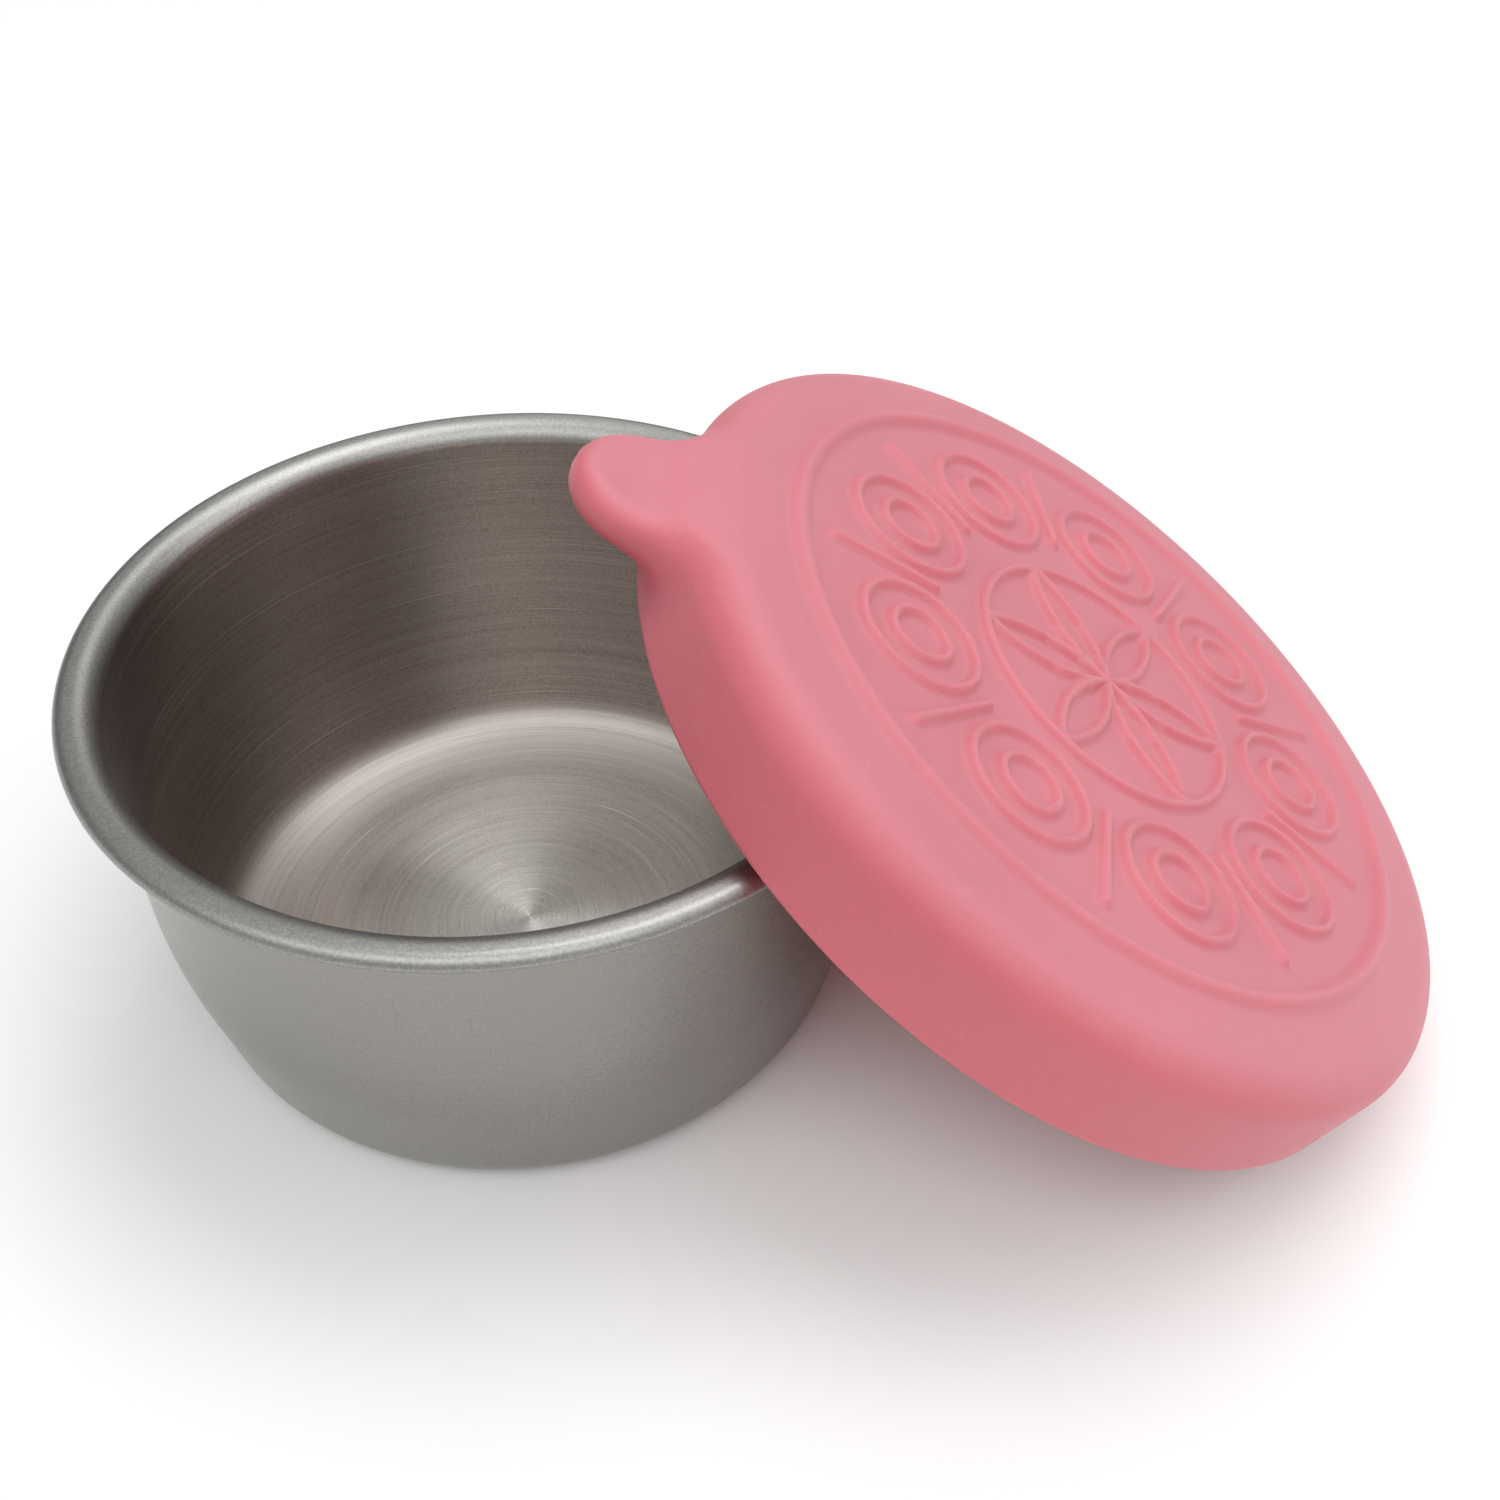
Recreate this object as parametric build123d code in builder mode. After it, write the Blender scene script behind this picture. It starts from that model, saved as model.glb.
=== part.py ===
from build123d import *
from math import cos, radians, sin, sqrt
import os

# Dappen dish: a small cup pressed from stainless sheet, and its one-piece silicone lid with a pull
# tab. The lid is off the cup, standing on the table on the edge of its skirt and leaning on the rim.
#
# Millimetres, +Z up. The origin is the centre of the cup's foot, on the table. +X is the side on
# which the lid leans, and -Y is the front.

# --- Cup: outside of the sheet, from the foot to the raw edge of the lip ---
SHEET = 0.6                 # thickness of the steel
CUP_RADIUS = 32.0           # outermost edge of the lip
CUP_HEIGHT = 31.8           # crest of the lip
FOOT_CORNER_RADIUS = 26.2   # where the flat foot and the lower wall would meet
WAIST_RADIUS = 28.95        # where the sloping lower wall meets the steeper upper wall
WAIST_HEIGHT = 12.5
NECK_RADIUS = 29.35         # top of the wall, under the lip
LIP_DROP = 1.1              # from the crest of the lip down to its raw edge
FOOT_BEND = 3.2             # outside bend radii, all of them on the outer face of the sheet
WAIST_BEND = 40.0
NECK_BEND = 1.3
LIP_BEND = 0.4
LIP_EASE = 0.2              # rounding of the raw edge

# --- Lid, in its own frame: radius from its axis, height from the foot of its skirt ---
LID_RADIUS = 35.6           # outside of the skirt
LID_HEIGHT = 10.0           # flat top, without the ridge
MOUTH_RADIUS = 32.4         # inside of the skirt, which passes over the lip
CAVITY_DEPTH = 7.4
FOOT_EASE = 0.5             # rounding of the skirt's lower edges
SHOULDER_RADIUS = 3.4       # rounding between top and skirt
SHOULDER_DROP = 0.7         # fall of the top from the ridge to the skirt
SHOULDER_SWEEP = 14.0       # bend where that fall begins
CAVITY_FILLET = 1.0
RIDGE_RADIUS = 28.1         # raised ring round the ornament
RIDGE_SECTION = 0.6         # radius of its round section
RIDGE_SINK = 0.25           # how far the section's centre lies under the top
SEAL_RADIUS = 28.8          # outside of the ring that plugs the cup's mouth
SEAL_WIDTH = 1.6
SEAL_DEPTH = 2.6

# --- Pull tab, on its own plane that droops from the skirt ---
TAB_DROOP = 9.0             # degrees below the plane of the lid
TAB_ROOT_RADIUS = 35.0
TAB_ROOT_HEIGHT = 5.7       # of the middle of its thickness
TAB_REACH = 8.5             # from the root to the tip
TAB_HALF_WIDTH = 5.75       # also the radius of the tip
TAB_FLARE = 3.5             # radius with which its sides run into the skirt
TAB_BURY = 2.4              # how far it starts inside the skirt
TAB_THICKNESS = 3.3
TAB_EDGE = 1.4              # rounding of the tab's edges

# --- How the lid leans ---
LID_TILT = 33.2             # degrees from level
LID_AZIMUTH = -11.4         # direction of its fall, in degrees from +X towards +Y
LIP_TOUCH_RADIUS = 31.25    # radius on the lip where the skirt's inner edge would touch it
LEAN_GAP = 0.4              # the lid stands this much further out than at full contact

os.makedirs("parts", exist_ok=True)


def save(part, name):
    part.label = name
    export_step(part, f"parts/{name}.step")


# --- dish: one sheet of even thickness, revolved ---
under_lip = CUP_HEIGHT - SHEET
raw_edge_radius = CUP_RADIUS - SHEET
with BuildPart() as dish:
    with BuildSketch(Plane.XZ):
        with BuildLine() as outside:
            FilletPolyline(
                (0, 0),
                (FOOT_CORNER_RADIUS, 0),
                (WAIST_RADIUS, WAIST_HEIGHT),
                (NECK_RADIUS, under_lip),
                (raw_edge_radius, under_lip),
                (raw_edge_radius, CUP_HEIGHT - LIP_DROP),
                radius=(FOOT_BEND, WAIST_BEND, NECK_BEND, LIP_BEND),
            )
            offset(amount=SHEET, side=Side.LEFT)
        make_face()
    revolve(axis=Axis.Z)
    raw_edges = dish.edges().filter_by(GeomType.CIRCLE).filter_by(
        lambda edge: abs(edge.center().Z - (CUP_HEIGHT - LIP_DROP)) < 0.01
    )
    fillet(raw_edges, radius=LIP_EASE)
save(dish.part, "dish")

# --- Where the lid stands: skirt foot on the table, skirt's inner edge on the lip at two points ---
tilt_sin = sin(radians(LID_TILT))
tilt_cos = cos(radians(LID_TILT))
foot_height = (LID_RADIUS - FOOT_EASE) * tilt_sin + FOOT_EASE * (1 - tilt_cos)
rim_offset = (CUP_HEIGHT - foot_height) / tilt_sin
half_chord = sqrt(MOUTH_RADIUS**2 - rim_offset**2)
foot_distance = sqrt(LIP_TOUCH_RADIUS**2 - half_chord**2) + rim_offset * tilt_cos + LEAN_GAP
level_fall = Vector(1, 0, 0).rotate(Axis.Z, LID_AZIMUTH)
lid_origin = level_fall * foot_distance + Vector(0, 0, foot_height)
lid_axis = level_fall * tilt_sin + Vector(0, 0, tilt_cos)
downhill = level_fall * tilt_cos - Vector(0, 0, tilt_sin)
lid_section = Plane(origin=lid_origin, x_dir=downhill, z_dir=downhill.cross(lid_axis))
lid_spin = Axis(lid_origin, lid_axis)

uphill = downhill * -1
tab_out = uphill * cos(radians(TAB_DROOP)) - lid_axis * sin(radians(TAB_DROOP))
tab_side = lid_axis.cross(uphill)
tab_plane = Plane(
    origin=lid_origin + uphill * TAB_ROOT_RADIUS + lid_axis * TAB_ROOT_HEIGHT,
    x_dir=tab_out,
    z_dir=tab_out.cross(tab_side),
)

# --- lid's pull tab, a feature of the lid ---
tip_centre = TAB_REACH - TAB_HALF_WIDTH
flare_start = tip_centre - TAB_FLARE
root_half_width = TAB_HALF_WIDTH + TAB_FLARE
with BuildPart() as tab:
    with BuildSketch(tab_plane):
        with BuildLine():
            Polyline((-TAB_BURY, 0), (-TAB_BURY, root_half_width), (flare_start, root_half_width))
            CenterArc((tip_centre, root_half_width), TAB_FLARE, 180, 90)
            CenterArc((tip_centre, 0), TAB_HALF_WIDTH, 0, 90)
            mirror(about=Plane.XZ)
        make_face()
    extrude(amount=TAB_THICKNESS / 2, both=True)
    fillet(tab.edges().filter_by(GeomType.CIRCLE), radius=TAB_EDGE)

# --- lid: revolved cap with its tab, hollowed from below ---
with BuildPart() as lid:
    with BuildSketch(lid_section):
        with BuildLine():
            FilletPolyline(
                (0, LID_HEIGHT),
                (RIDGE_RADIUS, LID_HEIGHT),
                (LID_RADIUS, LID_HEIGHT - SHOULDER_DROP),
                (LID_RADIUS, 0),
                (0, 0),
                radius=(SHOULDER_SWEEP, SHOULDER_RADIUS, FOOT_EASE),
            )
            Line((0, 0), (0, LID_HEIGHT))
        make_face()
    revolve(axis=lid_spin)
    add(tab.part)
    with BuildSketch(lid_section):
        with Locations((RIDGE_RADIUS, LID_HEIGHT - RIDGE_SINK)):
            Circle(RIDGE_SECTION)
    revolve(axis=lid_spin)
    with BuildSketch(lid_section):
        with BuildLine():
            FilletPolyline(
                (0, CAVITY_DEPTH),
                (SEAL_RADIUS - SEAL_WIDTH, CAVITY_DEPTH),
                (SEAL_RADIUS - SEAL_WIDTH, CAVITY_DEPTH - SEAL_DEPTH),
                (SEAL_RADIUS, CAVITY_DEPTH - SEAL_DEPTH),
                (SEAL_RADIUS, CAVITY_DEPTH),
                (MOUTH_RADIUS, CAVITY_DEPTH),
                (MOUTH_RADIUS, 0),
                radius=(CAVITY_FILLET, FOOT_EASE, FOOT_EASE, CAVITY_FILLET, CAVITY_FILLET),
            )
            Line((MOUTH_RADIUS, 0), (0, 0))
            Line((0, 0), (0, CAVITY_DEPTH))
        make_face()
    revolve(axis=lid_spin, mode=Mode.SUBTRACT)
save(lid.part, "lid")
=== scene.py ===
import math

import bpy
import numpy as np
from mathutils import Matrix, Vector


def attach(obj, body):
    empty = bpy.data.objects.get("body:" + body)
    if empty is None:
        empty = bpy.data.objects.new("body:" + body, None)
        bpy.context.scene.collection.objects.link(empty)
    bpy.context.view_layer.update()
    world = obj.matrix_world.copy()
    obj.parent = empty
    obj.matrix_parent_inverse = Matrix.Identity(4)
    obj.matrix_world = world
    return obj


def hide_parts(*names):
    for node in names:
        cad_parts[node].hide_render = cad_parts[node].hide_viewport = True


# Dappen dish: a spun-brushed steel dish, and its silicone lid leaning on the rim.
# Metres throughout; small sizes are written in millimetres and multiplied by MM.
MM = 0.001

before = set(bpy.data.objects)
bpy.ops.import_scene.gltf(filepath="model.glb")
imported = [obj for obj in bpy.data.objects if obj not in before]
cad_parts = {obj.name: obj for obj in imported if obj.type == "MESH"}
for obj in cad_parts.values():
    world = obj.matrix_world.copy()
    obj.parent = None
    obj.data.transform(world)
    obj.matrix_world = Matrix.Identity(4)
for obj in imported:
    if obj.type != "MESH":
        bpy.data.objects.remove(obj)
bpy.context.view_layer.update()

# --- Dish: section of the sheet, on its outer face, as in the CAD part ---
SHEET = 0.6 * MM
LIP_RADIUS = 32.0 * MM
DISH_HEIGHT = 31.8 * MM
FOOT_CORNER_RADIUS = 26.2 * MM
WAIST_RADIUS = 28.95 * MM
WAIST_HEIGHT = 12.5 * MM
NECK_RADIUS = 29.35 * MM
LIP_DROP = 1.1 * MM
FOOT_BEND = 3.2 * MM
WAIST_BEND = 40.0 * MM
NECK_BEND = 1.3 * MM
LIP_BEND = 0.4 * MM
RAW_EDGE_EASE = 0.25 * MM
BRUSHED_TOP = 30.6 * MM      # where the brushed wall gives way to the satin lip
FACING_UP = 0.5              # a face whose normal's z is more than this is floor, not wall
DISH_SEGMENTS = 512
DISH_STEP = 1.0 * MM
RAW_EDGE_STEPS = 8

# --- Lid: radius from its axis, height from the foot of its skirt ---
LID_RADIUS = 35.6 * MM
LID_HEIGHT = 10.0 * MM
MOUTH_RADIUS = 32.4 * MM
CAVITY_DEPTH = 7.4 * MM
FOOT_EASE = 0.5 * MM
MOUTH_EASE = 0.9 * FOOT_EASE
SHOULDER_RADIUS = 3.4 * MM
SHOULDER_DROP = 0.7 * MM
RIDGE_RADIUS = 28.1 * MM
RIDGE_HALF_WIDTH = 1.15 * MM
RIDGE_HEIGHT = 0.6 * MM
RECESS_DEPTH = 0.14 * MM     # how far the top inside the ridge lies below the top outside it
SEAL_RADIUS = 28.8 * MM
SEAL_WIDTH = 1.6 * MM
SEAL_DEPTH = 2.6 * MM
CAVITY_FILLET = 1.0 * MM
TOP_SLOPE = SHOULDER_DROP / (LID_RADIUS - RIDGE_RADIUS)    # fall of the top outside the ridge
LID_FOOT = (MOUTH_RADIUS + FOOT_EASE, 0)   # (r, z) where the skirt's rings end and the hollow's start
LID_SEGMENTS = 448           # a multiple of 8, because smaller rings have as little as an eighth
TOP_END = 31.0 * MM          # where the rings of the top give way to the rings of the side
TOP_STEP = 0.25 * MM         # ring spacing where the ornament is
SIDE_STEP = 0.24 * MM
HOLLOW_STEP = 1.5 * MM

# --- Relief on the lid: a rosette in a ring, and round it double loops with a bar between them ---
RELIEF_HEIGHT = 0.70 * MM
RELIEF_HALF_WIDTH = 0.70 * MM
PETALS = 6
PETAL_RADIUS = 11.6 * MM     # of the petals' arcs and of the ring that they end in
PETAL_FADE = 0.5 * MM        # over which the petals end at that ring
LOOPS = 9
LOOP_MIDDLE = 19.2 * MM
LOOP_RADII = (4.9 * MM, 2.4 * MM)
BAR_MIDDLE = 20.6 * MM
BAR_HALF_LENGTH = 4.4 * MM

# --- Pull tab, in a frame of its own that droops from the skirt ---
TAB_DROOP = math.radians(9.0)
TAB_ROOT_RADIUS = 35.0 * MM
TAB_ROOT_HEIGHT = 5.7 * MM
TAB_REACH = 8.5 * MM
TAB_HALF_WIDTH = 5.75 * MM
TAB_THICKNESS = 3.3 * MM
TAB_EDGE = 1.5 * MM
TAB_BLEND = 4.4 * MM

# First guess at the section through the tab's middle: how far down the rings of the side, radius and
# height, over the top of the tab, round its tip and back along its underside.
TAB_SHARES = (0.30, 0.50, 0.56, 0.62, 0.84)
TAB_RADII = (35.6 * MM, 42.0 * MM, 43.4 * MM, 42.0 * MM, 36.4 * MM)
TAB_HEIGHTS = (7.6 * MM, 6.4 * MM, 4.4 * MM, 2.8 * MM, 3.4 * MM)
TAB_DRAW_ANGLE = math.radians(15)     # the first guess draws out the rings this far each side of the tab
TAB_PATCH_ANGLE = math.radians(27)    # the relaxing moves them this far each side
TAB_DRAW_POWER = 1.2
RELAX_ROUNDS = 100
SETTLE_ROUNDS = 10
RELAX_PULL = 0.6
NUDGE = 0.01 * MM            # to each side, for the slope of a distance

# --- Finishes: each pair is the dark and the light end of a blend ---
SATIN = ((0.295, 0.286, 0.265, 1), (0.328, 0.318, 0.295, 1))
SATIN_LIP = ((0.310, 0.305, 0.293, 1), (0.396, 0.390, 0.375, 1))
# The wall's warm brown tint is a painted reflection of the pink lid; the grey of the steel is under it.
BRUSHED_WALL_REFLECTION_TINT = ((0.305, 0.248, 0.220, 1), (0.480, 0.410, 0.372, 1))
BRUSHED_FLOOR = ((0.330, 0.322, 0.305, 1), (0.490, 0.480, 0.458, 1))
GRIT = (0.62, 0.59, 0.56, 1)
SCRATCH = (0.78, 0.76, 0.73, 1)
# Pale colour of the ring round the floor's corner: a painted highlight.
CORNER_PAINTED_HIGHLIGHT = (0.72, 0.695, 0.66, 1)
# Painted light on the silicone: the darker, redder pair is painted shade for the skirt and the flanks of
# the relief, the paler pair a painted sheen for faces square to the lid's axis.
SILICONE_PAINTED_SHADE = ((0.590, 0.128, 0.160, 1), (0.630, 0.146, 0.180, 1))
SILICONE_PAINTED_SHEEN = ((0.590, 0.187, 0.226, 1), (0.630, 0.206, 0.248, 1))
# The hollow's deeper red is painted light, as if light shone through the silicone.
SILICONE_HOLLOW_PAINTED_LIGHT = (0.62, 0.05, 0.07, 1)
SILICONE_DUST = (0.71, 0.30, 0.34, 1)
FLOOR_WHITE = (0.94, 0.94, 0.94, 1)

# Most of a noise lies between these.
NOISE = (0.35, 0.65)
WIDE_NOISE = (0.3, 0.7)

# Brushed inside, by distance from the axis: where the floor's colour and gloss end, and the wall's start.
FLOOR_COLOUR_END = 22.0 * MM
WALL_COLOUR_START = 25.0 * MM
FLOOR_GLOSS_END = 23.0 * MM
WALL_GLOSS_START = 26.0 * MM
FLOOR_ROUGH = 0.27
WALL_ROUGH = 0.33

# Pale ring round the corner of the floor, a painted highlight that is also rougher, by distance from the
# axis plus height: it fades in, is full, and fades out.
RING_START = 20.0 * MM
RING_FULL = (24.5 * MM, 25.5 * MM)
RING_END = 29.5 * MM
RING_ROUGH = 0.18

LIP_ROUGH = 0.12             # how much rougher the lip is than the outside
STEEL_BUMP = 0.012 * MM
SILICONE_BUMP = 0.02 * MM

# Silicone, by the cosine between a face's normal and the lid's axis: the first pair blends painted shade
# into a painted sheen, the second blends in the hollow's painted red light.
PAINTED_SHEEN_FACING = (0.5, 0.98)
HOLLOW_FACING = (-0.2, -0.8)

# --- Stage ---
CAMERA_PLACE = (0, -103.7 * MM, 113.9 * MM)
CAMERA_DOWN = 42.58          # degrees below level
CAMERA_RIGHT = 10.63         # degrees to the right of +y
CAMERA_LENS = 41.9           # in millimetres, as Blender has it, like the sensor
CAMERA_SENSOR = 36.0
FLOOR_HALF = 3.0

# Sky: brightest overhead and a little to the front, darkest low down at the back.
SKY_LOW = 0.05
SKY_HIGH = 0.86
SKY_TOWARDS = (0.0, -0.24, 0.97)
SKY_LOW_FROM = -0.1          # cosine of the angle from the brightest place at which it gets darkest

# Lamps: name, place, what it points at, size, watts.
LAMPS = (
    ("overhead", (0.13, 0.11, 0.60), (0.0, 0, 0), (0.44, 0.28), 1.15),
    ("back", (0.13, 0.46, 0.45), (0.0, 0, 0), (0.26, 0.26), 0.27),
    ("right", (0.61, -0.08, 0.45), (0.03, 0, 0.02), (0.4, 0.5), 0.8),
    ("front", (-0.16, -0.36, 0.60), (0.02, 0, 0.01), (1.1, 0.34), 1.8),
)


# ---------------------------------------------------------------- shared mesh code

ARC_STEP = math.radians(7)
ARC_LEAST = 4
ON_AXIS = 0.1 * MM           # a ring no wider than this is one point


def add_run(points, start, end, step):
    """Adds a straight run from start to end, without start itself, in steps no longer than step."""
    count = max(1, math.ceil(np.linalg.norm(end - start) / step))
    points.extend(start + (end - start) * k / count for k in range(1, count + 1))


def rounded_path(corners, radii, step):
    """Points and left-hand normals along a polyline in (r, z) whose inner corners are rounded."""
    corners = [np.array(corner, float) for corner in corners]
    start = corners[0]
    points = [start]
    for before, corner, after, radius in zip(corners, corners[1:], corners[2:], radii):
        u = (corner - before) / np.linalg.norm(corner - before)
        v = (after - corner) / np.linalg.norm(after - corner)
        turn = math.atan2(u[0] * v[1] - u[1] * v[0], u @ v)
        reach = radius * math.tan(abs(turn) / 2)
        left = np.array([-u[1], u[0]]) * math.copysign(1, turn)
        centre = corner - u * reach + left * radius
        add_run(points, start, corner - u * reach, step)
        count = max(ARC_LEAST, math.ceil(abs(turn) / ARC_STEP), math.ceil(radius * abs(turn) / step))
        for k in range(1, count + 1):
            angle = turn * k / count
            spoke = -left * math.cos(angle) + u * abs(math.sin(angle))
            points.append(centre + radius * spoke)
        start = corner + v * reach
    add_run(points, start, corners[-1], step)
    points = np.array(points)
    forward = np.gradient(points, axis=0)
    forward[0] = points[1] - points[0]
    forward[-1] = points[-1] - points[-2]
    forward /= np.linalg.norm(forward, axis=1)[:, None]
    return points, np.stack([-forward[:, 1], forward[:, 0]], axis=1)


def circle_ring(radius, height, count):
    """One ring of points, starting on +x. On the axis it is a single point."""
    if radius <= ON_AXIS:
        count = 1
    angle = np.arange(count) * 2 * math.pi / count
    x = radius * np.cos(angle)
    y = radius * np.sin(angle)
    return np.stack([x, y, np.full(count, height)], axis=1)


def band(a, m, b, n):
    """Faces between two rings: m points from vertex a on, and n points from vertex b on."""
    if m == n:
        return [(a + j, a + (j + 1) % m, b + (j + 1) % m, b + j) for j in range(m)]
    if m == 1:
        return [(a, b + (j + 1) % n, b + j) for j in range(n)]
    if n == 1:
        return [(b, a + j, a + (j + 1) % m) for j in range(m)]
    faces = []
    for j in range(min(m, n)):
        k = (j + 1) % min(m, n)
        if n == 2 * m:
            low, middle, high = b + 2 * j, b + 2 * j + 1, b + (2 * j + 2) % n
            faces.extend([(a + j, middle, low), (a + j, a + k, middle), (a + k, high, middle)])
        else:
            low, middle, high = a + 2 * j, a + 2 * j + 1, a + (2 * j + 2) % m
            faces.extend([(b + j, low, middle), (b + j, middle, b + k), (b + k, middle, high)])
    return faces


def skin(name, rings):
    """A closed mesh over rings of points. A ring has one point, or as many as its neighbour, or half
    as many, or twice as many."""
    starts = np.cumsum([0] + [len(ring) for ring in rings])
    faces = []
    for first, second, a, b in zip(rings, rings[1:], starts, starts[1:]):
        faces.extend(band(a, len(first), b, len(second)))
    mesh = bpy.data.meshes.new(name)
    mesh.from_pydata(np.concatenate(rings).tolist(), [], faces)
    mesh.validate()
    mesh.polygons.foreach_set("use_smooth", [True] * len(mesh.polygons))
    piece = bpy.data.objects.new(name, mesh)
    bpy.context.scene.collection.objects.link(piece)
    return piece


# ---------------------------------------------------------------- node helpers

# The colour sockets of a Mix node, among those that it has for other kinds of data.
MIX_A = 6
MIX_B = 7
MIX_RESULT = 2


class Nodes:
    """Short calls for building one material's node tree."""

    def __init__(self, name):
        self.material = bpy.data.materials.new(name)
        self.material.use_nodes = True
        self.tree = self.material.node_tree
        self.shader = self.tree.nodes["Principled BSDF"]

    def add(self, kind, inputs=None, **settings):
        node = self.tree.nodes.new("ShaderNode" + kind)
        for key, value in settings.items():
            setattr(node, key, value)
        for key, value in (inputs or {}).items():
            self.put(node.inputs[key], value)
        return node

    def put(self, socket, value):
        """Links the value if it is another node's socket, and otherwise sets it."""
        if isinstance(value, bpy.types.NodeSocket):
            self.tree.links.new(value, socket)
        else:
            socket.default_value = value

    def calc(self, operation, a, b):
        return self.add("Math", {0: a, 1: b}, operation=operation).outputs[0]

    def noise(self, vector, scale, detail, roughness=0.5):
        inputs = {"Vector": vector, "Scale": scale, "Detail": detail, "Roughness": roughness}
        return self.add("TexNoise", inputs).outputs["Fac"]

    def span(self, value, low, high, to_low=0.0, to_high=1.0):
        """Maps low to high onto to_low to to_high, and holds the ends beyond them."""
        node = self.add("MapRange", {0: value, 1: low, 2: high, 3: to_low, 4: to_high})
        return node.outputs[0]

    def blend(self, amount, a, b):
        node = self.add("Mix", {0: amount}, data_type="RGBA")
        self.put(node.inputs[MIX_A], a)
        self.put(node.inputs[MIX_B], b)
        return node.outputs[MIX_RESULT]


# ---------------------------------------------------------------- dish


def make_dish():
    """The dish as one sheet of even thickness, turned about Z."""
    under_lip = DISH_HEIGHT - SHEET
    raw_radius = LIP_RADIUS - SHEET
    corners = [
        (0, 0),
        (FOOT_CORNER_RADIUS, 0),
        (WAIST_RADIUS, WAIST_HEIGHT),
        (NECK_RADIUS, under_lip),
        (raw_radius, under_lip),
        (raw_radius, DISH_HEIGHT - LIP_DROP + RAW_EDGE_EASE),
    ]
    outer, normals = rounded_path(corners, (FOOT_BEND, WAIST_BEND, NECK_BEND, LIP_BEND), DISH_STEP)
    inner = outer + normals * SHEET
    half_turn = np.linspace(0, math.pi, RAW_EDGE_STEPS + 1)[1:-1]
    middle = (outer[-1] + inner[-1]) / 2
    edge_r = middle[0] - SHEET / 2 * np.cos(half_turn)
    edge_z = middle[1] - RAW_EDGE_EASE * np.sin(half_turn)
    section = np.concatenate([outer, np.stack([edge_r, edge_z], 1), inner[::-1]])
    dish = skin("steel_dish", [circle_ring(r, z, DISH_SEGMENTS) for r, z in section])
    dish.data.materials.append(satin_steel())
    dish.data.materials.append(brushed_steel())
    for face in dish.data.polygons:
        x, y, z = face.center
        on_floor = face.normal.z > FACING_UP and math.hypot(x, y) < FOOT_CORNER_RADIUS
        on_wall = x * face.normal.x + y * face.normal.y < 0 and z < BRUSHED_TOP
        face.material_index = int(on_floor or on_wall)
    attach(dish, "dish")
    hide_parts("dish")


def round_dish(m):
    """Position, distance from the axis, that distance plus height, and noise drawn out round the axis."""
    place = m.add("TexCoord").outputs["Object"]
    split = m.add("SeparateXYZ", {0: place}).outputs
    flat = m.add("CombineXYZ", {0: split[0], 1: split[1]}).outputs[0]
    radius = m.add("VectorMath", {0: flat}, operation="LENGTH").outputs["Value"]
    around = m.add("VectorMath", {0: flat}, operation="NORMALIZE").outputs["Vector"]
    along = m.add("SeparateXYZ", {0: around}).outputs
    run = m.calc("ADD", radius, split[2])

    def streaks(stretch, fineness, detail):
        """Noise that changes slowly round the axis, by stretch, and quickly across the lines, by
        fineness. It follows radius plus height, so the lines run on unbroken over floor and wall."""
        x = m.calc("MULTIPLY", along[0], stretch)
        y = m.calc("MULTIPLY", along[1], stretch)
        z = m.calc("MULTIPLY", run, fineness)
        vector = m.add("CombineXYZ", {0: x, 1: y, 2: z}).outputs[0]
        return m.noise(vector, 1.0, detail, roughness=0.6)

    return place, radius, run, streaks


def finish_steel(m, colour, rough, height, bump):
    """Metal whose highlights are drawn out across lines that run round the axis."""
    tangent = m.add("Tangent", direction_type="RADIAL", axis="Z")
    raised = m.add("Bump", {"Strength": bump, "Distance": STEEL_BUMP, "Height": height})
    s = m.shader.inputs
    m.put(s["Base Color"], colour)
    m.put(s["Roughness"], rough)
    m.put(s["Normal"], raised.outputs[0])
    m.put(s["Tangent"], tangent.outputs[0])
    s["Metallic"].default_value = 1.0
    s["Anisotropic Rotation"].default_value = 0.25
    return m.material


def satin_steel():
    """The outside and the lip: fine satin, with very faint lines round the axis. The lip is paler
    and rougher."""
    m = Nodes("satin_steel")
    place, _, _, streaks = round_dish(m)
    fine = streaks(stretch=2.0, fineness=7000.0, detail=2.0)
    grit = m.noise(place, scale=5200.0, detail=2.0)
    smudge = m.noise(place, scale=70.0, detail=3.0)
    mixed = m.calc("ADD", m.calc("MULTIPLY", grit, 0.6), m.calc("MULTIPLY", fine, 0.4))
    height = m.add("SeparateXYZ", {0: place}).outputs[2]
    lip = m.span(height, DISH_HEIGHT - 2 * LIP_DROP, DISH_HEIGHT - LIP_DROP)
    outside = m.blend(m.span(mixed, *NOISE), *SATIN)
    pale = m.blend(m.span(grit, *NOISE), *SATIN_LIP)
    colour = m.blend(lip, outside, pale)
    rough = m.span(mixed, *WIDE_NOISE, 0.25, 0.32)
    rough = m.calc("ADD", rough, m.span(smudge, *WIDE_NOISE, -0.03, 0.03))
    rough = m.calc("ADD", rough, m.calc("MULTIPLY", lip, LIP_ROUGH))
    m.shader.inputs["Anisotropic"].default_value = 0.35
    return finish_steel(m, colour, rough, mixed, bump=0.06)


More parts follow.
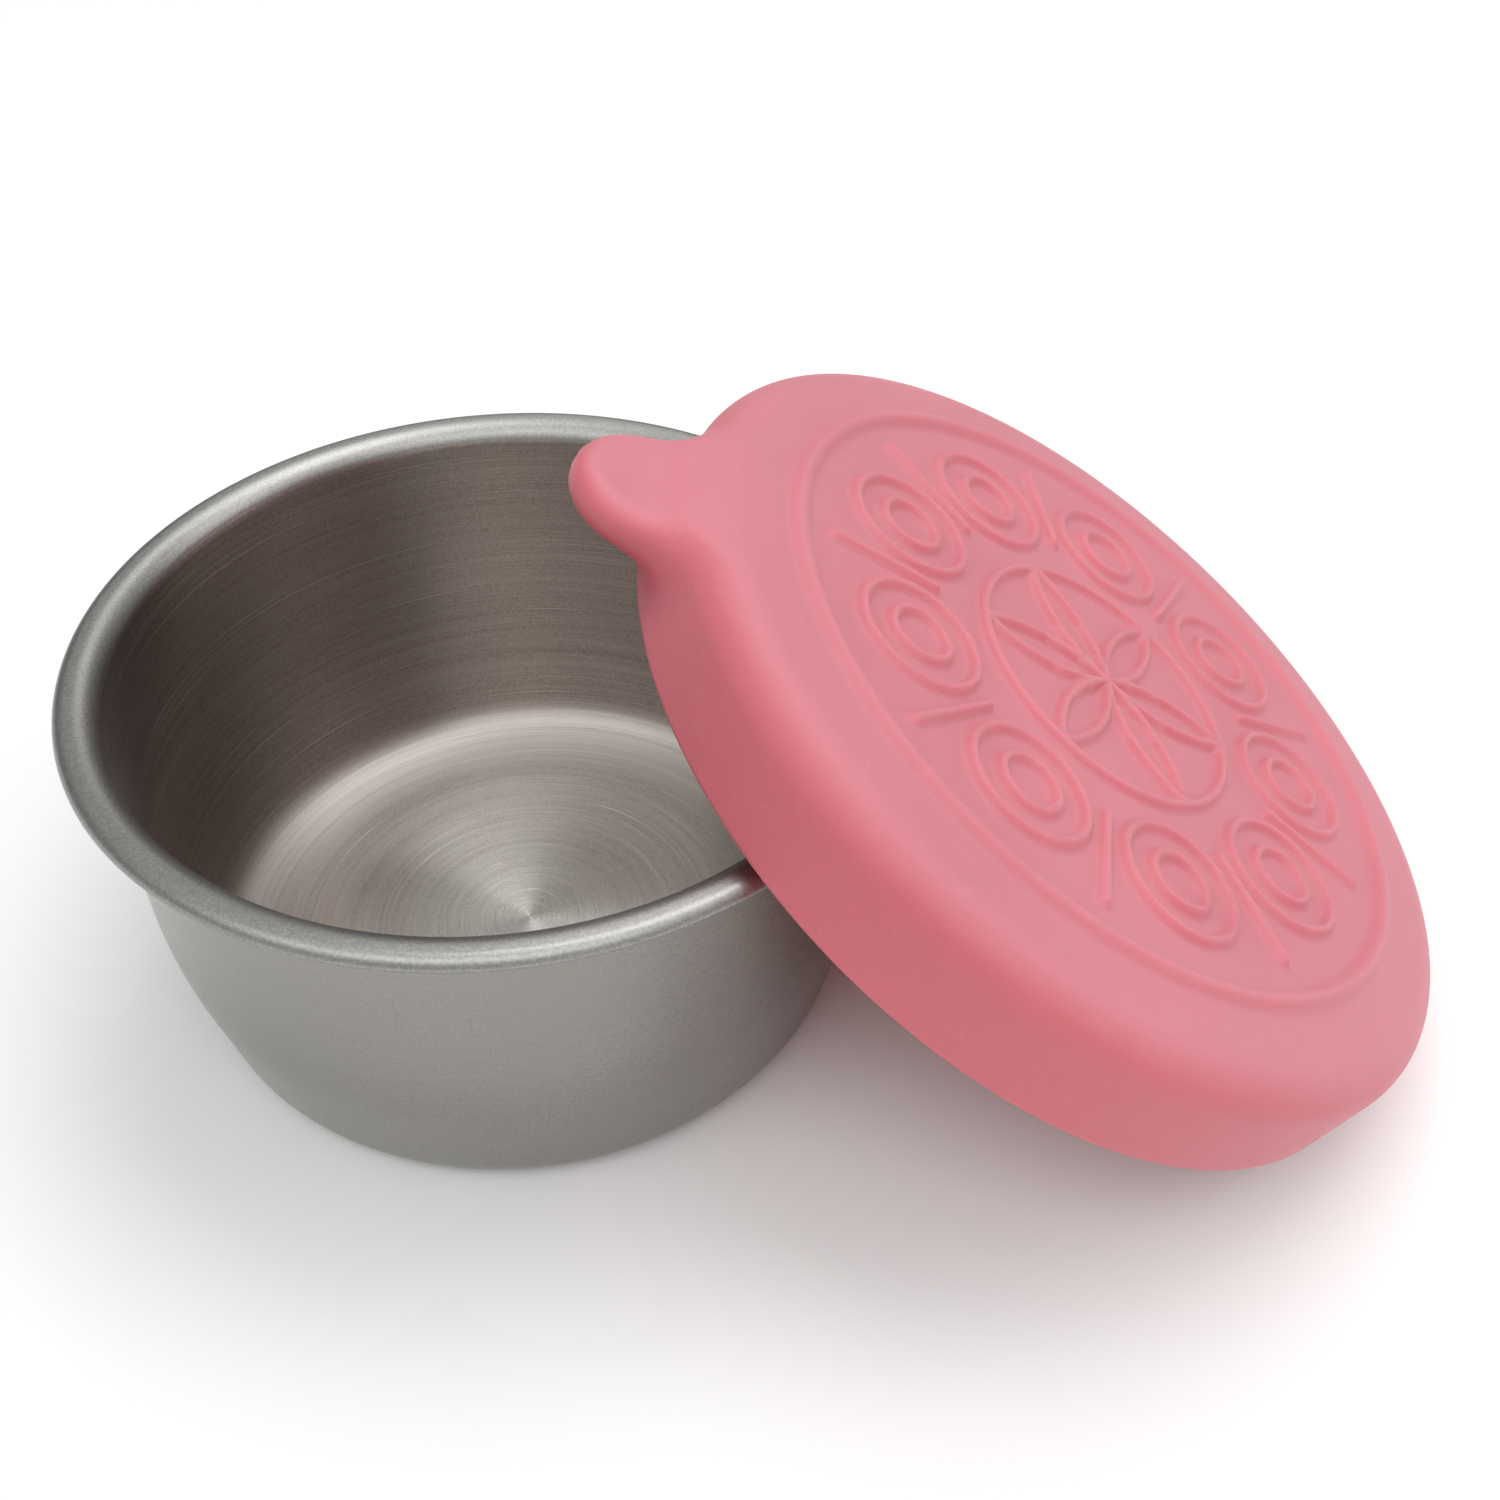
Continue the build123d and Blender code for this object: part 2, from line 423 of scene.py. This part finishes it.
def brushed_steel():
    """The inside: brush lines round the axis, grit and a few light scratches, and round the corner of the
    floor a pale, rougher ring, a painted highlight of the rounded corner."""
    m = Nodes("brushed_steel")
    place, radius, run, streaks = round_dish(m)
    fine = streaks(stretch=0.7, fineness=9000.0, detail=2.0)
    broad = streaks(stretch=0.5, fineness=1500.0, detail=3.0)
    scratch = streaks(stretch=1.1, fineness=4000.0, detail=1.0)
    smudge = m.noise(place, scale=90.0, detail=3.0)
    grit = m.noise(place, scale=4600.0, detail=2.0)
    lines = m.calc("ADD", m.calc("MULTIPLY", fine, 0.7), m.calc("MULTIPLY", broad, 0.3))
    shade = m.span(lines, *WIDE_NOISE)
    # The wall's warm brown tint is a painted reflection of the pink lid.
    wall = m.blend(shade, *BRUSHED_WALL_REFLECTION_TINT)
    floor = m.blend(shade, *BRUSHED_FLOOR)
    colour = m.blend(m.span(radius, WALL_COLOUR_START, FLOOR_COLOUR_END), wall, floor)
    colour = m.blend(m.span(grit, 0.40, 0.65, 0.0, 0.30), colour, GRIT)
    colour = m.blend(m.span(scratch, 0.66, 0.74, 0.0, 0.5), colour, SCRATCH)
    ring_inside = m.span(run, RING_START, RING_FULL[0])
    ring_outside = m.span(run, RING_END, RING_FULL[1])
    ring = m.calc("MULTIPLY", ring_inside, ring_outside)
    # A painted highlight round the corner of the floor, stronger along the lighter brush lines.
    ring_highlight = m.calc("MULTIPLY", ring, m.span(lines, *NOISE, 0.45, 1.0))
    colour = m.blend(ring_highlight, colour, CORNER_PAINTED_HIGHLIGHT)
    rough = m.span(lines, 0.25, 0.75, 0.0, 0.02)
    rough = m.calc("ADD", rough, m.span(smudge, *WIDE_NOISE, -0.015, 0.015))
    gloss = m.span(radius, FLOOR_GLOSS_END, WALL_GLOSS_START, FLOOR_ROUGH, WALL_ROUGH)
    rough = m.calc("ADD", rough, gloss)
    rough = m.calc("ADD", rough, m.calc("MULTIPLY", ring, RING_ROUGH))
    m.shader.inputs["Anisotropic"].default_value = 0.88
    return finish_steel(m, colour, rough, lines, bump=0.02)


# ---------------------------------------------------------------- lid


def lid_matrix(node):
    """The lid's own frame, read from the CAD lid: z along its axis, x uphill towards its tab."""
    mesh = node.data
    normals = np.zeros(len(mesh.polygons) * 3)
    areas = np.zeros(len(mesh.polygons))
    points = np.zeros(len(mesh.vertices) * 3)
    mesh.polygons.foreach_get("normal", normals)
    mesh.polygons.foreach_get("area", areas)
    mesh.vertices.foreach_get("co", points)
    normals, points = normals.reshape(-1, 3), points.reshape(-1, 3)
    # The largest face is part of the flat top or of the flat of the hollow, both square to the axis.
    axis = normals[areas.argmax()]
    axis = axis * np.sign(axis[2])
    uphill = np.array([0, 0, 1.0]) - axis * axis[2]
    uphill /= np.linalg.norm(uphill)
    side = np.cross(axis, uphill)
    foot_height = (points @ axis).min()
    foot = points[points @ axis < foot_height + FOOT_EASE * 1.01]
    spans = [(foot @ v).min() / 2 + (foot @ v).max() / 2 for v in (uphill, side)]
    origin = uphill * spans[0] + side * spans[1] + axis * foot_height
    matrix = Matrix.Identity(4)
    for row in range(3):
        matrix[row][0], matrix[row][1], matrix[row][2] = uphill[row], side[row], axis[row]
        matrix[row][3] = origin[row]
    return matrix


def ridge(distance, half_width):
    """A soft round ridge: 1 on its line, 0 at half_width from it."""
    return np.clip(1 - (distance / half_width) ** 2, 0, 1) ** 2


def ornament(x, y):
    """Height of the relief on the top: a compass rosette in a ring, and double loops and bars round it."""
    reach = np.hypot(x, y)
    height = ridge(reach - PETAL_RADIUS, RELIEF_HALF_WIDTH)
    in_rosette = np.clip((PETAL_RADIUS - reach) / PETAL_FADE + 0.5, 0, 1)
    for k in range(PETALS):
        angle = 2 * math.pi / PETALS * k
        away = np.hypot(x - PETAL_RADIUS * math.cos(angle), y - PETAL_RADIUS * math.sin(angle))
        height = np.maximum(height, ridge(away - PETAL_RADIUS, RELIEF_HALF_WIDTH) * in_rosette)
    for k in range(LOOPS):
        angle = 2 * math.pi / LOOPS * (k + 0.5)
        away = np.hypot(x - LOOP_MIDDLE * math.cos(angle), y - LOOP_MIDDLE * math.sin(angle))
        for radius in LOOP_RADII:
            height = np.maximum(height, ridge(away - radius, RELIEF_HALF_WIDTH))
        angle += math.pi / LOOPS
        out = x * math.cos(angle) + y * math.sin(angle)
        across = x * math.sin(angle) - y * math.cos(angle)
        past_end = np.maximum(abs(out - BAR_MIDDLE) - BAR_HALF_LENGTH, 0)
        height = np.maximum(height, ridge(np.hypot(across, past_end), RELIEF_HALF_WIDTH))
    return height * RELIEF_HEIGHT


def corner_distance(r, z, corner, first, second, radius):
    """Distance to a rounded corner between two straight edges, whose outward normals are unit (r, z)
    pairs."""
    cross = first[0] * second[1] - first[1] * second[0]
    inset = [radius * (first[1] - second[1]) / cross, radius * (second[0] - first[0]) / cross]
    x = r - corner[0] - inset[0]
    y = z - corner[1] - inset[1]
    along_first = (x * second[1] - y * second[0]) / cross
    along_second = (first[0] * y - first[1] * x) / cross
    flat = np.maximum(x * first[0] + y * first[1], x * second[0] + y * second[1])
    between = (along_first > 0) & (along_second > 0)
    return np.where(between, np.hypot(x, y), flat) - radius


def body_distance(p):
    """Distance from points in the lid's frame to its round body, without the tab."""
    r = np.hypot(p[:, 0], p[:, 1])
    z = p[:, 2]
    tilt = math.atan2(SHOULDER_DROP, LID_RADIUS - RIDGE_RADIUS)
    up = (math.sin(tilt), math.cos(tilt))
    top_corner = (LID_RADIUS, LID_HEIGHT - SHOULDER_DROP)
    shoulder = corner_distance(r, z, top_corner, up, (1, 0), SHOULDER_RADIUS)
    foot = corner_distance(r, z, (LID_RADIUS, 0), (1, 0), (0, -1), FOOT_EASE)
    return np.maximum(shoulder, foot)


def tab_distance(p):
    """Distance from points in the lid's frame to the pull tab, a drooping tongue with round edges."""
    along = p[:, 0] - TAB_ROOT_RADIUS
    up = p[:, 2] - TAB_ROOT_HEIGHT
    x = along * math.cos(TAB_DROOP) - up * math.sin(TAB_DROOP)
    z = along * math.sin(TAB_DROOP) + up * math.cos(TAB_DROOP)
    tip = TAB_REACH - TAB_HALF_WIDTH
    plan = np.hypot(np.maximum(x - tip, 0), p[:, 1]) - TAB_HALF_WIDTH
    plan = np.maximum(plan, -x)
    a = plan + TAB_EDGE
    b = np.abs(z) - TAB_THICKNESS / 2 + TAB_EDGE
    return np.minimum(np.maximum(a, b), 0) + np.hypot(np.maximum(a, 0), np.maximum(b, 0)) - TAB_EDGE


def side_distance(p):
    """Distance from points in the lid's frame to body and tab, with a soft blend between the two."""
    a = body_distance(p)
    b = tab_distance(p)
    mix = np.clip(TAB_BLEND - np.abs(a - b), 0, None) / TAB_BLEND
    return np.minimum(a, b) - mix**2 * TAB_BLEND / 4


def drawn_out(grid, angle):
    """The rings of the side, drawn out towards the first guess at the tab."""
    toward = np.cos(angle / TAB_DRAW_ANGLE * math.pi / 2)
    swell = np.where(np.abs(angle) < TAB_DRAW_ANGLE, toward, 0) ** TAB_DRAW_POWER
    index = np.arange(len(grid))
    shares = np.array([0, *TAB_SHARES, 1.0]) * (len(grid) - 1)
    radii = [grid[0, 0, 0], *TAB_RADII, grid[-1, 0, 0]]
    heights = [grid[0, 0, 2], *TAB_HEIGHTS, grid[-1, 0, 2]]
    middle_r = np.interp(index, shares, radii)[:, None]
    middle_z = np.interp(index, shares, heights)[:, None]
    r = np.hypot(grid[:, :, 0], grid[:, :, 1])
    r = r + (middle_r - r) * swell
    z = grid[:, :, 2] + (middle_z - grid[:, :, 2]) * swell
    return np.stack([r * np.cos(angle), r * np.sin(angle), z], axis=2)


def with_tab(rings):
    """The rings of the shoulder and skirt, drawn out over the pull tab and blended into it. Each round
    puts the points near the tab on its surface, and all but the last few also even out their spacing."""
    grid = np.stack(rings)
    angle = np.arctan2(grid[:, :, 1], grid[:, :, 0])
    columns = np.abs(angle[0]) < TAB_PATCH_ANGLE
    order = np.argsort(angle[0][columns])
    columns = np.flatnonzero(columns)[order]
    patch = drawn_out(grid, angle)[:, columns]
    inner = (slice(1, -1), slice(1, -1))
    shape = patch[inner].shape
    for step in range(RELAX_ROUNDS + SETTLE_ROUNDS):
        here = patch[inner].reshape(-1, 3)
        slope = [side_distance(here + NUDGE * e) - side_distance(here - NUDGE * e) for e in np.eye(3)]
        slope = np.stack(slope, 1)
        slope /= np.linalg.norm(slope, axis=1)[:, None] + 1e-12
        moved = here - slope * side_distance(here)[:, None]
        if step < RELAX_ROUNDS:
            mean = (patch[:-2, 1:-1] + patch[2:, 1:-1] + patch[1:-1, :-2] + patch[1:-1, 2:]) / 4
            pull = mean.reshape(-1, 3) - here
            moved += RELAX_PULL * (pull - slope * (pull * slope).sum(1)[:, None])
        patch[inner] = moved.reshape(shape)
    grid[:, columns] = patch
    return list(grid)


def ring_count(radius):
    """How many points a ring of the lid has: fewer round the smaller ones."""
    for limit, share in ((3 * MM, 8), (6 * MM, 4), (12 * MM, 2)):
        if radius < limit:
            return LID_SEGMENTS // share
    return LID_SEGMENTS


def lid_top():
    """The rings of the top, from its middle out over the relief and the ridge."""
    rings = []
    for k in range(round(TOP_END / TOP_STEP)):
        radius = k * TOP_STEP
        ring = circle_ring(radius, LID_HEIGHT, ring_count(radius))
        fall = TOP_SLOPE * max(0.0, radius - RIDGE_RADIUS)
        recess = RECESS_DEPTH * min(max((RIDGE_RADIUS - radius) / RIDGE_HALF_WIDTH, 0.0), 1.0)
        ridge_height = RIDGE_HEIGHT * ridge(abs(radius - RIDGE_RADIUS), RIDGE_HALF_WIDTH)
        ring[:, 2] += ornament(ring[:, 0], ring[:, 1]) - fall - recess + ridge_height
        rings.append(ring)
    return rings


def lid_side():
    """The rings of the shoulder and the skirt, with the tab drawn out of them."""
    corners = [
        (TOP_END, LID_HEIGHT - TOP_SLOPE * (TOP_END - RIDGE_RADIUS)),
        (LID_RADIUS, LID_HEIGHT - SHOULDER_DROP),
        (LID_RADIUS, 0),
        LID_FOOT,
    ]
    section, _ = rounded_path(corners, (SHOULDER_RADIUS, FOOT_EASE), SIDE_STEP)
    return with_tab([circle_ring(r, z, LID_SEGMENTS) for r, z in section])


def lid_hollow():
    """The rings of the hollow, from the foot of the skirt in over the sealing ring to the middle."""
    corners = [
        LID_FOOT,
        (MOUTH_RADIUS, 0),
        (MOUTH_RADIUS, CAVITY_DEPTH),
        (SEAL_RADIUS, CAVITY_DEPTH),
        (SEAL_RADIUS, CAVITY_DEPTH - SEAL_DEPTH),
        (SEAL_RADIUS - SEAL_WIDTH, CAVITY_DEPTH - SEAL_DEPTH),
        (SEAL_RADIUS - SEAL_WIDTH, CAVITY_DEPTH),
        (0, CAVITY_DEPTH),
    ]
    radii = (MOUTH_EASE, CAVITY_FILLET, CAVITY_FILLET, FOOT_EASE, FOOT_EASE, CAVITY_FILLET)
    section, _ = rounded_path(corners, radii, HOLLOW_STEP)
    half = LID_SEGMENTS // 2
    return [circle_ring(r, z, min(ring_count(r), half)) for r, z in section[1:]]


def make_lid():
    """The lid in its own frame, then moved to where the CAD lid lies."""
    lid = skin("silicone_lid", lid_top() + lid_side() + lid_hollow())
    matrix = lid_matrix(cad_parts["lid"])
    lid.data.transform(matrix)
    lid.data.materials.append(silicone_material(matrix.col[2][:3]))
    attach(lid, "lid")
    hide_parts("lid")


def silicone_material(axis):
    """Matt pink silicone with a faint moulded grain and fine pale dust. Faces square to the lid's axis are
    paler with a painted sheen, the skirt and the flanks of the relief are darker and redder with painted
    shade, and the hollow is a deeper red of painted light, as if light shone through the silicone."""
    m = Nodes("pink_silicone")
    place = m.add("TexCoord").outputs["Object"]
    normal = m.add("NewGeometry").outputs["Normal"]
    facing = m.add("VectorMath", {0: normal, 1: axis}, operation="DOT_PRODUCT").outputs["Value"]
    cloud = m.noise(place, scale=45.0, detail=3.0)
    grain = m.noise(place, scale=2600.0, detail=2.0)
    dust = m.noise(place, scale=900.0, detail=5.0, roughness=0.7)
    uneven = m.span(cloud, *WIDE_NOISE)
    shade_tone = m.blend(uneven, *SILICONE_PAINTED_SHADE)
    sheen_tone = m.blend(uneven, *SILICONE_PAINTED_SHEEN)
    # Painted shade on the skirt and the flanks of the relief, blending into a painted sheen on faces
    # square to the lid's axis.
    colour = m.blend(m.span(facing, *PAINTED_SHEEN_FACING), shade_tone, sheen_tone)
    # The hollow's deeper red is painted light, as if light shone through the silicone.
    colour = m.blend(m.span(facing, *HOLLOW_FACING), colour, SILICONE_HOLLOW_PAINTED_LIGHT)
    colour = m.blend(m.span(dust, 0.56, 0.8, 0.0, 0.25), colour, SILICONE_DUST)
    raised = m.add("Bump", {"Strength": 0.25, "Distance": SILICONE_BUMP, "Height": grain})
    s = m.shader.inputs
    m.put(s["Base Color"], colour)
    m.put(s["Roughness"], m.span(m.calc("ADD", cloud, dust), 0.7, 1.3, 0.50, 0.66))
    m.put(s["Normal"], raised.outputs[0])
    s["Subsurface Weight"].default_value = 0.35
    s["Subsurface Radius"].default_value = (1.0, 0.3, 0.22)
    s["Subsurface Scale"].default_value = 2.0 * MM
    s["Specular IOR Level"].default_value = 0.6
    s["Sheen Weight"].default_value = 0.12
    s["Sheen Roughness"].default_value = 0.5
    return m.material


# ---------------------------------------------------------------- stage


def make_camera():
    """In front of the dish and above it, close enough for strong perspective."""
    camera = bpy.data.cameras.new("camera")
    camera.sensor_width = CAMERA_SENSOR
    camera.lens = CAMERA_LENS
    camera.clip_start = 1 * MM
    holder = bpy.data.objects.new("camera", camera)
    bpy.context.scene.collection.objects.link(holder)
    holder.location = CAMERA_PLACE
    holder.rotation_euler = (math.radians(90 - CAMERA_DOWN), 0, math.radians(-CAMERA_RIGHT))
    bpy.context.scene.camera = holder


def make_floor():
    """A plain pale floor."""
    mesh = bpy.data.meshes.new("floor")
    signs = ((-1, -1), (1, -1), (1, 1), (-1, 1))
    mesh.from_pydata([(x * FLOOR_HALF, y * FLOOR_HALF, 0) for x, y in signs], [], [(0, 1, 2, 3)])
    floor = bpy.data.objects.new("floor", mesh)
    bpy.context.scene.collection.objects.link(floor)
    m = Nodes("floor_white")
    m.shader.inputs["Base Color"].default_value = FLOOR_WHITE
    m.shader.inputs["Roughness"].default_value = 0.9
    mesh.materials.append(m.material)


def make_lamp(name, place, target, size, watts):
    """A rectangular lamp that points at its target."""
    lamp = bpy.data.lights.new(name, "AREA")
    lamp.shape = "RECTANGLE"
    lamp.size, lamp.size_y = size
    lamp.energy = watts
    holder = bpy.data.objects.new(name, lamp)
    bpy.context.scene.collection.objects.link(holder)
    holder.location = place
    holder.rotation_euler = (Vector(target) - Vector(place)).to_track_quat("-Z", "Y").to_euler()


def make_sky():
    """A soft white sky whose strength changes with direction."""
    world = bpy.data.worlds.new("studio")
    bpy.context.scene.world = world
    world.use_nodes = True
    tree = world.node_tree
    background = tree.nodes["Background"]
    background.inputs["Color"].default_value = (1, 1, 1, 1)
    place = tree.nodes.new("ShaderNodeTexCoord")
    towards = tree.nodes.new("ShaderNodeVectorMath")
    towards.operation = "DOT_PRODUCT"
    towards.inputs[1].default_value = SKY_TOWARDS
    level = tree.nodes.new("ShaderNodeMapRange")
    level.inputs["From Min"].default_value = SKY_LOW_FROM
    level.inputs["To Min"].default_value = SKY_LOW
    level.inputs["To Max"].default_value = SKY_HIGH
    tree.links.new(place.outputs["Generated"], towards.inputs[0])
    tree.links.new(towards.outputs["Value"], level.inputs["Value"])
    tree.links.new(level.outputs["Result"], background.inputs["Strength"])


make_camera()
make_floor()
make_sky()
for lamp in LAMPS:
    make_lamp(*lamp)
make_dish()
make_lid()
bpy.context.scene.view_settings.view_transform = "Standard"
